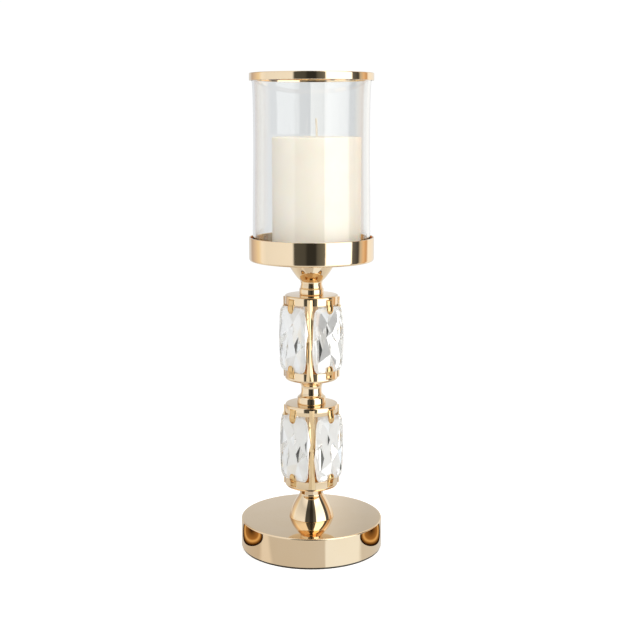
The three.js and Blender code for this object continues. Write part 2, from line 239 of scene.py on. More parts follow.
# share of the patch's radius, colour
PATCH = (
    (0.0, "#2A1606"), (0.48, "#3A220C"), (0.60, "#A8743A"), (0.72, "#F0BE78"),
    (0.84, "#8C5E28"), (0.92, "#2A1404"), (1.0, "#1E0E02"),
)


def skin(name, grids, material, closed=False, sharp=30):
    """A surface through a grid of points (rows x columns x 3, mm), or several such grids.
    Columns go right round. Closed joins the last row to the first. A row whose points all
    coincide is a pole. Edges that turn more than sharp degrees stay crisp."""
    grids = np.asarray(grids, float)
    grids = grids[None] if grids.ndim == 3 else grids
    index = np.arange(grids[..., 0].size).reshape(grids.shape[:3])
    pole = np.ptp(grids, axis=2).max(axis=-1) < 1e-6
    index = np.where(pole[..., None], index[..., :1], index)
    low, high = (index, np.roll(index, -1, 1)) if closed else (index[:, :-1], index[:, 1:])
    quads = np.stack([low, np.roll(low, -1, 2), np.roll(high, -1, 2), high], -1).reshape(-1, 4)
    used, quads = np.unique(quads, return_inverse=True)
    quads = quads.reshape(-1, 4)
    at_low, at_high = quads[:, 0] == quads[:, 1], quads[:, 2] == quads[:, 3]
    faces = (
        quads[~at_low & ~at_high].tolist()
        + quads[at_low & ~at_high][:, [0, 2, 3]].tolist()
        + quads[at_high & ~at_low][:, [0, 1, 2]].tolist()
    )
    mesh = bpy.data.meshes.new(name)
    mesh.from_pydata((grids.reshape(-1, 3)[used] * MM).tolist(), [], faces)
    mesh.materials.append(material)
    mesh.shade_smooth()
    mesh.set_sharp_from_angle(angle=math.radians(sharp))
    piece = bpy.data.objects.new(name, mesh)
    bpy.context.collection.objects.link(piece)
    return piece


def lathe(profile, turn=256, centre=(0.0, 0.0)):
    """Turned grid: for profile point (r, z) and angle a, (r cos a + cx, r sin a + cy, z).
    The profile goes up the outside and down the inside."""
    r, z = np.asarray(profile, float).T[:, :, None]
    a = np.arange(turn) * 2 * math.pi / turn
    return np.stack([r * np.cos(a) + centre[0], r * np.sin(a) + centre[1], z + 0 * a], -1)


paper = bpy.data.materials.new("white_paper_matt")
paper.use_nodes = True
tree = paper.node_tree
tree.nodes.clear()
place = add_node(tree, "TexCoord").outputs["Object"]
# Matt paper has no shine: its tone only varies a little from fibre to fibre. What follows
# first is the painted reflection that polished parts show in its place.
near = add_node(tree, "VectorMath", {0: place}, {1: WEDGE_AT}, operation="SUBTRACT")
way, share = share_of_turn(tree, near.outputs[0])
painted_light_wedge = add_node(tree, "ValToRGB", {0: share.outputs[0]})
stops = painted_light_wedge.color_ramp.elements
stops[0].color = stops[1].color = WEDGE_BACK
for degrees, brightness, blue in WEDGE:
    stop = stops.new(degrees / 360 + 0.5)
    stop.color = (brightness, brightness * (1 + blue) / 2, brightness * blue, 1.0)
away = add_node(tree, "VectorMath", {0: place}, operation="LENGTH")
beyond = add_node(
    tree, "MapRange", {0: away.outputs["Value"]}, {1: FAR_FROM, 2: FAR_BY, 3: 0.0, 4: 1.0}
)
far = add_node(
    tree, "Mix", {0: beyond.outputs[0], 6: painted_light_wedge.outputs[0]}, {7: FAR_TABLE},
    data_type="RGBA",
)
either = add_node(tree, "VectorMath", {0: place}, operation="ABSOLUTE")
reach = add_node(
    tree, "VectorMath", {0: either.outputs[0]}, {1: (PATCH_AT, 0.0, 0.0)}, operation="DISTANCE"
)
inside = add_node(
    tree, "MapRange", {0: reach.outputs["Value"]}, {1: 0.0, 2: PATCH_RADIUS, 3: 0.0, 4: 1.0}
)
amber = add_node(tree, "ValToRGB", {0: inside.outputs[0]})
stops = amber.color_ramp.elements
for stop, (at, tint) in zip([*stops] + [stops.new(0.5) for _ in PATCH[2:]], PATCH):
    stop.position = at
    stop.color = linear(tint)
covered = add_node(
    tree, "MapRange", {0: reach.outputs["Value"]},
    {1: PATCH_RADIUS * (1 - PATCH_SOFT), 2: PATCH_RADIUS * (1 + PATCH_SOFT), 3: 1.0, 4: 0.0},
)
corner = add_node(
    tree, "Mix", {0: covered.outputs[0], 6: far.outputs[2], 7: amber.outputs[0]},
    data_type="RGBA",
)
fibre = add_node(
    tree, "TexNoise", {0: place}, {"Scale": 1 / (PAPER_FIBRE * MM), "Detail": 3.0}
)
tone = add_node(
    tree, "Mix", {0: fibre.outputs[0]}, {6: linear("#E7E7E7"), 7: linear("#EAEAEA")},
    data_type="RGBA",
)
matt = add_node(tree, "BsdfDiffuse", {0: tone.outputs[2]})
glow = add_node(tree, "Emission", (), {1: PAPER_GLOW})
sheet = add_node(tree, "AddShader", {0: matt.outputs[0], 1: glow.outputs[0]})
# Rays other than the camera's see this painted reflection, an emission, instead of the paper.
painted_reflection = add_node(tree, "Emission", {0: corner.outputs[2]})
seen = add_node(tree, "LightPath").outputs["Is Camera Ray"]
both = add_node(tree, "MixShader", {0: seen, 1: painted_reflection.outputs[0], 2: sheet.outputs[0]})
add_node(tree, "OutputMaterial", {0: both.outputs[0]})

table_top = skin(
    "table_top", lathe([(TABLE_RADIUS, -1.0), (TABLE_RADIUS, 0.0), (0.0, 0.0)], 128), paper
)
table_top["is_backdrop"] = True


# ---------------------------------------------------------------- base pad
# A thin black felt disc glued under the base, so that the metal doesn't scratch a table.
# Pressed wool felt is dark, dull and slightly hairy.
def span(name):
    """Lowest and highest z of a CAD node, mm."""
    low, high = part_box(name)
    return low.z / MM, high.z / MM


def radius(name):
    """Largest radius of a CAD node that is centred on the stem, mm."""
    low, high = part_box(name)
    return (high.y - low.y) / 2 / MM


def flow(start, control, end, steps=20):
    """Quadratic curve (1-t)^2 start + 2t(1-t) control + t^2 end, t from 0 to 1."""
    t = np.linspace(0, 1, steps + 1)[:, None]
    start, control, end = np.array(start), np.array(control), np.array(end)
    return (1 - t) ** 2 * start + 2 * t * (1 - t) * control + t**2 * end


def rounded(corners, steps=6):
    """A profile in which a corner (r, z, size) becomes a flow between the points size away
    from it along its two sides. A corner (r, z) stays as it is."""
    points = []
    for i, corner in enumerate(corners):
        here = np.array(corner[:2], float)
        if len(corner) == 2:
            points.append(here[None])
            continue
        sides = [np.array(corners[k % len(corners)][:2]) - here for k in (i - 1, i + 1)]
        ends = [here + side / np.linalg.norm(side) * corner[2] for side in sides]
        points.append(flow(ends[0], here, ends[1], steps))
    return np.vstack(points)


def start_material(name):
    """A new material with its Principled shader: (material, tree, shader, Object place)."""
    material = bpy.data.materials.new(name)
    material.use_nodes = True
    tree = material.node_tree
    tree.nodes.clear()
    shader = add_node(tree, "BsdfPrincipled")
    add_node(tree, "OutputMaterial", {0: shader.outputs[0]})
    return material, tree, shader, add_node(tree, "TexCoord").outputs["Object"]


FELT_HAIR = 0.4  # mm between hairs

felt, tree, shader, place = start_material("wool_felt_pressed")
hair = add_node(tree, "TexNoise", {0: place}, {"Scale": 1 / (FELT_HAIR * MM), "Detail": 4.0})
shade = add_node(
    tree, "Mix", {0: hair.outputs[0]}, {6: linear("#161410"), 7: linear("#34302A")},
    data_type="RGBA",
)
tree.links.new(shade.outputs[2], shader.inputs["Base Color"])
shader.inputs["Roughness"].default_value = 0.95
shader.inputs["Sheen Weight"].default_value = 0.3
nap = add_node(
    tree, "Bump", {"Height": hair.outputs[0]}, {"Strength": 0.6, "Distance": 0.2 * MM}
)
tree.links.new(nap.outputs[0], shader.inputs["Normal"])

low, high = span("base_pad")
edge = radius("base_pad")
pad = skin(
    "felt_pad",
    lathe(rounded([(0, low), (edge, low, 0.4), (edge, high, 0.4), (0, high)])),
    felt,
)
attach(pad, "root")
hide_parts("base_pad")

# ---------------------------------------------------------------- base
# A round box of drawn sheet brass, buffed to a mirror and plated champagne gold.
# A cast weight is held inside it by the washer and nut on the stem's rod.
SHEET = 1.2  # mm of metal
TURNED_EDGE = 1.2  # mm, the soft upper edge
BASE_HOLE = 3.3  # mm, radius of the hole that the rod goes through
GOLD_CLOUD = 22.0  # mm between patches where the plating is thinner
GOLD_WAVE = 9.0  # mm between the slow waves that buffing leaves
GOLD_LINE = 0.9  # mm between buffing lines, coarser than real ones so that they show

gold, tree, shader, place = start_material("brass_mirror_buffed_gold_plated")
# Mirror-buffed plate reflects sharply, with faint waves, and a breath of haze where the
# plating is thinner. Its colour is a pale gold that goes amber where metal faces metal.
cloud = add_node(tree, "TexNoise", {0: place}, {"Scale": 1 / (GOLD_CLOUD * MM), "Detail": 3.0})
shade = add_node(
    tree, "Mix", {0: cloud.outputs[0]}, {6: linear("#EFD7B2"), 7: linear("#F2DDBE")},
    data_type="RGBA",
)
tree.links.new(shade.outputs[2], shader.inputs["Base Color"])
shader.inputs["Metallic"].default_value = 1.0
height = add_node(tree, "SeparateXYZ", {0: place})
lines = add_node(
    tree, "TexNoise", {"W": height.outputs["Z"]}, {"Scale": 1 / (GOLD_LINE * MM)},
    noise_dimensions="1D",
)
haze = add_node(
    tree, "MapRange", {0: lines.outputs[0]}, {1: 0.3, 2: 0.7, 3: 0.03, 4: 0.065}
)
tree.links.new(haze.outputs[0], shader.inputs["Roughness"])
wave = add_node(tree, "TexNoise", {0: place}, {"Scale": 1 / (GOLD_WAVE * MM), "Detail": 1.0})
buffing = add_node(
    tree, "Bump", {"Height": wave.outputs[0]}, {"Strength": 0.12, "Distance": 0.10 * MM}
)
tree.links.new(buffing.outputs[0], shader.inputs["Normal"])

low, high = span("base_shell")
edge = radius("base_shell")
shell = skin(
    "base_box",
    lathe(
        rounded(
            [
                (edge, low, 0.4),
                (edge, high, TURNED_EDGE),
                (BASE_HOLE, high),
                (BASE_HOLE, high - SHEET),
                (edge - SHEET, high - SHEET, 0.6),
                (edge - SHEET, low),
            ]
        )
    ),
    gold,
    closed=True,
)
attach(shell, "root")
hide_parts("base_shell")

IRON_GRAIN = 0.8  # mm, the sand of the mould

iron, tree, shader, place = start_material("grey_iron_sand_cast")
# Sand-cast iron is dark grey and grainy.
grain = add_node(tree, "TexNoise", {0: place}, {"Scale": 1 / (IRON_GRAIN * MM), "Detail": 5.0})
shade = add_node(
    tree, "Mix", {0: grain.outputs[0]}, {6: linear("#3B3A38"), 7: linear("#5C5A57")},
    data_type="RGBA",
)
tree.links.new(shade.outputs[2], shader.inputs["Base Color"])
shader.inputs["Metallic"].default_value = 0.8
shader.inputs["Roughness"].default_value = 0.7
sand = add_node(
    tree, "Bump", {"Height": grain.outputs[0]}, {"Strength": 0.5, "Distance": 0.3 * MM}
)
tree.links.new(sand.outputs[0], shader.inputs["Normal"])
for material_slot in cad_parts["base_weight"].material_slots:
    material_slot.material = iron

ZINC_GRAIN = 0.5  # mm

steel, tree, shader, place = start_material("steel_zinc_plated")
# Zinc plate on machine screws is a cool grey with a fine grain and a dull shine.
drawn = add_node(tree, "TexNoise", {0: place}, {"Scale": 1 / (ZINC_GRAIN * MM), "Detail": 4.0})
shade = add_node(
    tree, "Mix", {0: drawn.outputs[0]}, {6: linear("#A9AAA8"), 7: linear("#C9CAC8")},
    data_type="RGBA",
)
tree.links.new(shade.outputs[2], shader.inputs["Base Color"])
shader.inputs["Metallic"].default_value = 1.0
dull = add_node(tree, "MapRange", {0: drawn.outputs[0]}, {3: 0.25, 4: 0.45})
tree.links.new(dull.outputs[0], shader.inputs["Roughness"])
for name in ("base_washer", "base_nut", "tie_rod", "dish_screw"):
    for material_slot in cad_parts[name].material_slots:
        material_slot.material = steel

# ---------------------------------------------------------------- foot
# A trumpet turned from brass bar that flares on to the base, buffed and plated like it.
# The rod goes up through its bore, as it does through every piece of the stem.
BORE = 3.2  # mm, radius

low, high = span("foot_bell")
foot = skin(
    "foot_trumpet",
    lathe(
        np.vstack(
            [
                [(BORE, low), (18.9, low)],
                flow((19.1, low + 0.2), (17.6, low + 9.3), (10.1, low + 19.8), 40),
                rounded([(10.0, low + 20.6, 0.5), (10.0, high - 3), (10.4, high, 0.4),
                         (BORE, high)]),
            ]
        )
    ),
    gold,
    closed=True,
)
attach(foot, "root")
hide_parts("foot_bell")

# ---------------------------------------------------------------- cages: cups
# Each cage is a spun brass cup below and another upside down above, drawn together by the
# rod through the stem. The upper cage is turned a little from the lower one.
CUP_RADIUS = 22.3  # mm
LOW_SKIRT, HIGH_SKIRT = 8.4, 7.2  # mm, heights of the cups' skirts
CAGES = (("lower", 1.0), ("upper", -3.5))  # name, degrees turned

for cage, turned in CAGES:
    base_z, roof_z = span(cage + "_bottom_cup")[0], span(cage + "_top_cup")[1]
    rim_z, inside = roof_z - HIGH_SKIRT, CUP_RADIUS - SHEET
    cup_profile = np.vstack(
        [
            [(BORE, base_z), (12.0, base_z)],
            flow((CUP_RADIUS - 2, base_z), (CUP_RADIUS - 0.3, base_z + 0.4),
                 (CUP_RADIUS, base_z + 2)),
            rounded(
                [
                    (CUP_RADIUS, base_z + 2.2),
                    (CUP_RADIUS, base_z + LOW_SKIRT, 0.35),
                    (inside, base_z + LOW_SKIRT, 0.35),
                    (inside, base_z + SHEET, 1.2),
                    (BORE, base_z + SHEET),
                ]
            ),
        ]
    )
    cap_profile = rounded(
        [
            (inside, rim_z, 0.35),
            (CUP_RADIUS, rim_z, 0.35),
            (CUP_RADIUS, roof_z, 1.5),
            (BORE, roof_z),
            (BORE, roof_z - SHEET),
            (inside, roof_z - SHEET, 0.8),
        ]
    )
    for part, profile in (("_bottom_cup", cup_profile), ("_top_cup", cap_profile)):
        piece = skin(cage + part + "_spun", lathe(profile), gold, closed=True)
        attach(piece, "root")
        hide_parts(cage + part)

# ---------------------------------------------------------------- cages: claws
# Four cast claws on each cup hold the crystals' ends. Each is a domed strap, soldered to
# the cup's skirt, whose rounded tip lies over the crystal's edge.
CLAW_HALF, CLAW_DOME = 3.5, 1.6  # mm, half width and thickness
CLAW_DEPTH, CLAW_LIFT = 21.8, 1.0  # mm from the stem, and out again over the crystal
CLAW_TAPER = 0.45  # share of the length where the tip starts to narrow
CLAW_COUNT, CLAW_TURN = 4, 45  # how many, and degrees from the front to the first
CAST_CLOUD, CAST_RIPPLE = 5.0, 2.2  # mm


def turn_about_stem(points, degrees):
    """Points (across, height, depth) as (x, y, z): depth points out from the stem at
    degrees from the front, to the right, and across goes to the right of it."""
    a = np.radians(degrees)
    across, up, out = np.moveaxis(points, -1, 0)
    return np.stack(
        [out * np.sin(a) + across * np.cos(a), -out * np.cos(a) + across * np.sin(a), up], -1
    )


def claw(z_foot, z_tip, z_bend):
    """A strap from z_foot to z_tip. At share u of its length, with q = (u - 0.45) / 0.55 or 0,
    the half width is 3.5 (1 - q^4)^(1/2) and the dome 1.6 (1 - q^3)^(1/2), which swells as
    (9 u)^(1/2) from the foot. At angle a round the section a point lies |cos a|^0.8 half
    widths across and |sin a|^0.8 domes out, or 0.3 of that in, from depth 21.8, which goes
    up by 1 / (1 + e^(-22 (u - b))) at share b, where the strap passes z_bend."""
    u = np.concatenate([[0], np.linspace(0, 1, 30) ** 0.8, [1]])[:, None]
    a = (np.arange(32) * 2 * math.pi / 32)[None]
    q = np.clip((u - CLAW_TAPER) / (1 - CLAW_TAPER), 0, 1)
    width = CLAW_HALF * np.sqrt(np.clip(1 - q**4, 0, 1))
    z = z_foot + u * (z_tip - z_foot)
    along = abs(z_bend - z_foot) / abs(z_tip - z_foot)
    lift = 1 / (1 + np.exp(-(u - along) * 22))
    thick = CLAW_DOME * np.sqrt(np.clip(1 - q**3, 0, 1)) * np.clip(u * 9, 0, 1) ** 0.5
    width[0], thick[0] = 0, 0
    side = np.sign(np.cos(a)) * np.abs(np.cos(a)) ** 0.8
    dome = np.where(np.sin(a) > 0, 1, -0.3) * np.abs(np.sin(a)) ** 0.8
    depth = CLAW_DEPTH + CLAW_LIFT * lift + thick * dome
    return np.stack([width * side, z + 0 * a, depth], -1)


cast_gold, tree, shader, place = start_material("brass_cast_tumbled_gold_plated")
# Small castings are tumbled, not buffed, so their plate is a shade deeper and softly rippled.
cloud = add_node(tree, "TexNoise", {0: place}, {"Scale": 1 / (CAST_CLOUD * MM), "Detail": 3.0})
shade = add_node(
    tree, "Mix", {0: cloud.outputs[0]}, {6: linear("#DAB074"), 7: linear("#EBCB96")},
    data_type="RGBA",
)
tree.links.new(shade.outputs[2], shader.inputs["Base Color"])
shader.inputs["Metallic"].default_value = 1.0
haze = add_node(tree, "MapRange", {0: cloud.outputs[0]}, {1: 0.3, 2: 0.7, 3: 0.06, 4: 0.14})
tree.links.new(haze.outputs[0], shader.inputs["Roughness"])
ripple = add_node(
    tree, "TexNoise", {0: place}, {"Scale": 1 / (CAST_RIPPLE * MM), "Detail": 2.0}
)
tumbled = add_node(
    tree, "Bump", {"Height": ripple.outputs[0]}, {"Strength": 0.3, "Distance": 0.15 * MM}
)
tree.links.new(tumbled.outputs[0], shader.inputs["Normal"])

for cage, turned in CAGES:
    base_z, roof_z = span(cage + "_bottom_cup")[0], span(cage + "_top_cup")[1]
    rim_z = roof_z - HIGH_SKIRT
    for part, shape in (
        ("_bottom", claw(base_z + 2.6, base_z + LOW_SKIRT + 6, base_z + LOW_SKIRT)[:, ::-1]),
        ("_top", claw(roof_z - 1.7, rim_z - 7, rim_z)),
    ):
        claws = skin(
            cage + part + "_claws",
            [
                turn_about_stem(shape, turned + CLAW_TURN + 360 / CLAW_COUNT * k)
                for k in range(CLAW_COUNT)
            ],
            cast_gold,
            sharp=50,
        )
        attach(claws, "root")

# ---------------------------------------------------------------- cages: bars
# Four upright bars join the cups between the crystals. Each is a drawn strip with a ridge
# down its front, spread a little wider at its foot, where it is soldered over the skirt.
BAR_TOP, BAR_FOOT, BAR_FLARE = 2.15, 2.5, 0.5  # mm, half widths
BAR_BACK, BAR_CORE = 22.4, 22.8  # mm from the stem to the back and to the middle of the ends
# share of the half width across, mm out from the back
BAR_SECTION = np.array(
    [(0.96, 0), (1, 0.1), (1, 0.22), (0.06, 1.17), (0, 1.2), (-0.06, 1.17), (-1, 0.22),
     (-1, 0.1), (-0.96, 0)]
)
STRIP_STREAK = 0.7  # mm across a streak


def bar(z_low, z_high):
    """A strip from z_low to z_high: half width from 2.5 at the foot to 2.15 at the top, plus
    0.5 e^(-(height / 5)^2) at the foot, flat back at depth 22.4, edges at 22.6 and a ridge at
    23.6 along the middle."""
    z = np.linspace(z_low, z_high, 57)
    z = np.concatenate([[z_low], z, [z_high]])[:, None]
    up = (z - z_low) / (z_high - z_low)
    half = BAR_FOOT + (BAR_TOP - BAR_FOOT) * up + BAR_FLARE * np.exp(-(((z - z_low) / 5) ** 2))
    across, depth = half * BAR_SECTION[:, 0], BAR_BACK + 0 * z + BAR_SECTION[:, 1]
    across[[0, -1]], depth[[0, -1]] = 0, BAR_CORE
    return np.stack([across, z + 0 * across, depth], -1)


strip_gold, tree, shader, place = start_material("brass_strip_satin_gold_plated")
# The strips are plated as drawn, so their facets carry a satin, slightly streaked shine
# along their length, a deeper gold than the buffed parts.
stretch = add_node(tree, "Mapping", {0: place}, {3: (1.0, 1.0, 0.06)})
streak = add_node(
    tree, "TexNoise", {0: stretch.outputs[0]}, {"Scale": 1 / (STRIP_STREAK * MM), "Detail": 2.0}
)
shade = add_node(
    tree, "Mix", {0: streak.outputs[0]}, {6: linear("#E6C798"), 7: linear("#EFD7AE")},
    data_type="RGBA",
)
tree.links.new(shade.outputs[2], shader.inputs["Base Color"])
shader.inputs["Metallic"].default_value = 1.0
haze = add_node(tree, "MapRange", {0: streak.outputs[0]}, {1: 0.3, 2: 0.7, 3: 0.05, 4: 0.1})
tree.links.new(haze.outputs[0], shader.inputs["Roughness"])

for cage, turned in CAGES:
    nodes = [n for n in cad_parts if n.startswith(cage) and "bar" in n]
    shape = bar(*span(nodes[0]))
    for node in sorted(nodes):
        low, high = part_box(node)
        middle = (low + high) / 2
        aim = round((math.degrees(math.atan2(middle.x, -middle.y)) - turned) / 90) * 90 + turned
        piece = skin(node + "_ridged", turn_about_stem(shape, aim), strip_gold, sharp=12)
        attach(piece, "root")
        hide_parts(node)

# ---------------------------------------------------------------- cages: crystals
# Long cushion-cut stones of lead crystal stand in the cages on their ends. Each has a flat
# table with small facets round it, and a foiled back of wide flat facets with a few narrow
# kites cut across them.
STONE_WIDE, STONE_TALL = 16.8, 27.4  # mm, half sizes
TABLE_DEPTH, GIRDLE_DEPTH = 23.3, 21.2  # mm from the stem
BACK_DEPTH, BACK_RISE = 17.0, 1.0  # mm, at the back's middle, and more at its rim
CORNERS = 24  # points of the outline in each ring
STEP = 360 / CORNERS  # degrees
# rings, front to back: degrees to the first point, mm in from the outline, mm from the stem
RINGS = (
    (STEP / 2, 3.3, TABLE_DEPTH),
    (0, 1.3, TABLE_DEPTH - 0.9),
    (STEP / 2, 0.0, GIRDLE_DEPTH),
    (0, 0.25, GIRDLE_DEPTH - 0.8),
)
FRONT_FACETS = 1 + 4 * CORNERS  # the table and two bands of triangles
BACK_CORNERS, BACK_INSET = 16, 2.2  # points of the back's rim, mm in from the outline
KITE_PEAK = 1.05  # widths of the steep side that the peak stands out
STEEP = (20, 60)  # degrees from flat between which a back facet is a kite's steep side
# a kite's corners and its peak: widths across, half heights up
KITE = np.array([(1, -0.15), (0, 1), (-2.2, -0.15), (0, -1), (0, 0.7)])
# kites on the back, mm: across, up, width of the steep side, half height, lean of the tips
KITES = (
    (-8.8, -6.0, 3.1, 12.0, 0.8),
    (-0.8, 8.0, 2.1, 6.0, 0.4),
    (4.4, -3.5, -3.1, 9.0, 0.8),
    (12.4, 7.0, -1.8, 10.0, 0.3),
)


def outline(count, first, inset):
    """Points at equal steps of bearing f on the outline u = (1 - 0.07 v^2) |cos f|^(1/4),
    v = |sin f|^(1/4), with the signs of cos f and sin f, drawn in by the inset."""
    f = np.radians(first + np.arange(count) * 360 / count)
    v = np.sign(np.sin(f)) * np.abs(np.sin(f)) ** (1 / 4)
    u = np.sign(np.cos(f)) * np.abs(np.cos(f)) ** (1 / 4) * (1 - 0.07 * v**2)
    return np.stack([u * (STONE_WIDE - inset), v * (STONE_TALL - inset)], -1)


def back_depth(flat):
    """The back is a low pyramid: depth rises from the middle with max(|u|, |v|)."""
    share = np.abs(flat / np.array([STONE_WIDE, STONE_TALL])).max(axis=-1)
    return BACK_DEPTH + BACK_RISE * share


def cut_stone():
    """Rings of points at set insets and depths, turned half a step from one to the next and
    joined by triangles, with the table in front. The back joins the last ring and the kites'
    corners by a flat triangulation. Each kite has a steep side and one 2.2 times as wide, and
    its peak, near the top tip, stands out at the back by 1.05 widths. Returns points
    (across, height, depth) and faces."""
    rings = [
        np.column_stack([outline(CORNERS, first, inset), np.full(CORNERS, depth)])
        for first, inset, depth in RINGS
    ]
    rim = outline(BACK_CORNERS, 180 / BACK_CORNERS, BACK_INSET)
    inner = [np.column_stack([rim, back_depth(rim)])]
    for across, up, wide, tall, lean in KITES:
        flat = np.array([across, up]) + KITE * np.array([wide, tall])
        flat[:, 0] += lean * KITE[:, 1]
        depth = back_depth(flat)
        depth[4] -= KITE_PEAK * abs(wide)
        inner.append(np.column_stack([flat, depth]))
    points = np.vstack(rings + inner)
    index = np.arange(len(RINGS) * CORNERS).reshape(len(RINGS), CORNERS)
    faces = [tuple(index[0].tolist())]
    for whole, half in ((index[1], index[0]), (index[1], index[2]), (index[3], index[2])):
        ahead, beyond = np.roll(whole, -1), np.roll(half, -1)
        band = np.stack([whole, ahead, half, half, ahead, beyond], -1).reshape(-1, 3)
        faces += [tuple(f) for f in band.tolist()]
    last = (len(RINGS) - 1) * CORNERS
    flat = [Vector(p) for p in points[last:, :2].tolist()]
    ring_edges = [(i, (i + 1) % CORNERS) for i in range(CORNERS)]
    starts = range(CORNERS + BACK_CORNERS, len(flat), len(KITE))
    kite_edges = [(k + i, k + (i + 1) % 4) for k in starts for i in range(4)]
    kite_edges += [(k + i, k + 4) for k in starts for i in range(4)]
    made = delaunay_2d_cdt(flat, ring_edges + kite_edges, [], 0, 1e-6)
    origin = [ids[0] for ids in made[3]]
    faces += [tuple(last + origin[i] for i in f) for f in made[2]]
    return points, faces


POLISH = 6.0  # mm between the soft marks of polishing

lead_crystal, tree, shader, place = start_material("lead_crystal_cut_polished")
# Cut crystal is clear and bends light strongly, so each facet flashes pale or dark. A trace
# of unevenness stays from polishing.
shader.inputs["Base Color"].default_value = linear("#FDFEFF")
shader.inputs["Transmission Weight"].default_value = 1.0
shader.inputs["IOR"].default_value = 1.545
polish = add_node(tree, "TexNoise", {0: place}, {"Scale": 1 / (POLISH * MM), "Detail": 2.0})
haze = add_node(tree, "MapRange", {0: polish.outputs[0]}, {1: 0.35, 2: 0.7, 3: 0.0, 4: 0.02})
tree.links.new(haze.outputs[0], shader.inputs["Roughness"])

# A silver film on the back facets throws light out of the front. Over the wide facets its
# lacquer is painted with an even pale glow, an emission that stands in for light that gets
# into the stone from the sides. In the kites it is bare and mirrors dark and light.
FOIL_CLOUD = 4.0  # mm
FOILS = (  # name, metallic, roughness, glow
    ("silver_foil_white_lacquered", 0.45, 0.05, 0.19),
    ("silver_foil_bright", 1.0, 0.03, 0.0),
)
foils = []
for name, metal, rough, painted_glow_strength in FOILS:
    foil, tree, shader, place = start_material(name)
    tarnish = add_node(
        tree, "TexNoise", {0: place}, {"Scale": 1 / (FOIL_CLOUD * MM), "Detail": 3.0}
    )
    shade = add_node(
        tree, "Mix", {0: tarnish.outputs[0]}, {6: linear("#F2F2F0"), 7: linear("#FBFBFA")},
        data_type="RGBA",
    )
    tree.links.new(shade.outputs[2], shader.inputs["Base Color"])
    shader.inputs["Metallic"].default_value = metal
    shader.inputs["Roughness"].default_value = rough
    shader.inputs["Emission Color"].default_value = linear("#FFFFFD")
    # Painted glow: an emission on the foil stands in for light that gets in from the sides.
    shader.inputs["Emission Strength"].default_value = painted_glow_strength
    foils.append(foil)

corners, facets = cut_stone()
for cage, turned in CAGES:
    for node in sorted(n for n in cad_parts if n.startswith(cage) and "crystal" in n):
        low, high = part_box(node)
        middle = (low + high) / 2
        aim = math.degrees(math.atan2(middle.x, -middle.y))
        aim = round((aim - turned - 45) / 90) * 90 + turned + 45
        points = turn_about_stem(corners + np.array([0, middle.z / MM, 0]), aim) * MM
        mesh = bpy.data.meshes.new(node + "_cut")
        mesh.from_pydata(points.tolist(), [], facets)
        stone = bmesh.new()
        stone.from_mesh(mesh)
        bmesh.ops.recalc_face_normals(stone, faces=stone.faces)
        stone.to_mesh(mesh)
        stone.free()
        for coat in (lead_crystal, *foils):
            mesh.materials.append(coat)
        out = turn_about_stem(np.array([0.0, 0.0, 1.0]), aim)
        facing = np.zeros(len(mesh.polygons) * 3)
        mesh.polygons.foreach_get("normal", facing)
        back = -facing.reshape(-1, 3) @ out
        steep = (back < math.cos(math.radians(STEEP[0]))) & (
            back > math.cos(math.radians(STEEP[1]))
        )
        foiled = np.arange(len(back)) >= FRONT_FACETS
        mesh.polygons.foreach_set("material_index", np.where(foiled, np.where(steep, 2, 1), 0))
        piece = bpy.data.objects.new(node + "_cut", mesh)
        bpy.context.collection.objects.link(piece)
        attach(piece, "root")
        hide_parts(node)

# ---------------------------------------------------------------- cages: core sleeves
# A plated brass tube hides the rod behind the crystals. It is cut from drawn tube and
# clamped between the two cups.
SLEEVE_OUT, SLEEVE_IN = 5.5, 3.3  # mm, radii

for cage, turned in CAGES:
    low, high = span(cage + "_core_sleeve")
    sleeve = skin(
        cage + "_sleeve_tube",
        lathe(
            rounded(
                [
                    (SLEEVE_OUT, low, 0.3), (SLEEVE_OUT, high, 0.3),
                    (SLEEVE_IN, high, 0.3), (SLEEVE_IN, low, 0.3),
                ]
            ),
            96,
        ),
        gold,
        closed=True,
    )
    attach(sleeve, "root")
    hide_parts(cage + "_core_sleeve")

# ---------------------------------------------------------------- spool
# A waisted spacer turned from brass bar stands between the cages. It is threaded on the
# rod like the rest of the stem.
low, high = span("middle_spool")
spool = skin(
    "spool_turned",
    lathe(
        np.vstack(
            [
                rounded([(BORE, low), (11.9, low, 0.3), (12.3, low + 0.8, 0.4),
                         (11.9, low + 5.2, 0.3), (11.3, low + 6.0)]),
                flow((11.3, low + 6.0), (8.6, low + 7.5), (8.6, low + 11), 24),
                flow((8.6, low + 13.5), (8.6, low + 16.5), (11.3, low + 18.5), 24),
                rounded([(11.3, low + 18.6), (11.3, high, 0.3), (BORE, high)])[1:],
            ]
        )
    ),
    gold,
    closed=True,
)
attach(spool, "root")
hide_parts("middle_spool")

# ---------------------------------------------------------------- neck
# A short collar turned from brass bar under the dish cone. A groove parts its plain band
# from the small lip under the cone.
low, high = span("top_neck")
neck = skin(
    "neck_turned",
    lathe(
        rounded(
            [
                (BORE, low), (9.8, low, 0.25), (10.2, low + 0.8, 0.3), (10.2, low + 4.7, 0.3),
                (9.8, low + 5.5, 0.25), (9.0, low + 5.9, 0.2), (9.4, low + 6.3, 0.2),
                (8.6, high, 0.2), (BORE, high),
            ]
        )
    ),
    gold,
    closed=True,
)
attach(neck, "root")
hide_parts("top_neck")

# ---------------------------------------------------------------- dish cone
# A funnel turned from brass that carries the dish on its flat top. A recess in the top
# takes the dish's boss.
RECESS_RADIUS, RECESS_DEPTH = 7.9, 3.0  # mm

